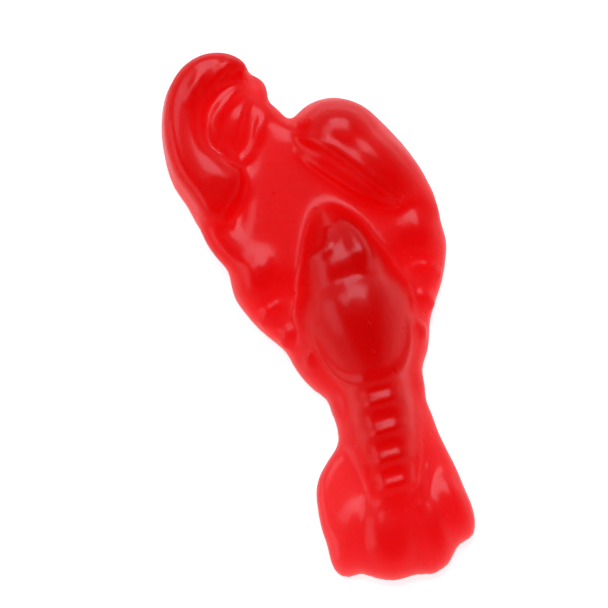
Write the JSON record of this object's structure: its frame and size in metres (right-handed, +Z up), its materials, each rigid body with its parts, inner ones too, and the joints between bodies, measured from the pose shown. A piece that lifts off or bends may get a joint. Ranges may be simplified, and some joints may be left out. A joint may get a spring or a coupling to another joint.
{
  "type": "gummy lobster",
  "caption": "Moulded red gummy lobster with two unlike claws, a ridged tail and a fan, lying on its flat back face.",
  "frame": {"origin": "middle of the box of the sweet, on the plane of its flat back face", "axes": "+Y from the tail fan towards the claws, +Z up out of the moulded front, +X to the right seen from above with the claws away"},
  "size_m": [0.0304, 0.0694, 0.0103],
  "materials": {
    "red_gel": "soft translucent red gel with a broad, slightly pitted gloss"
  },
  "bodies": {
    "root": {"lobster": "red_gel"}
  },
  "joints": []
}
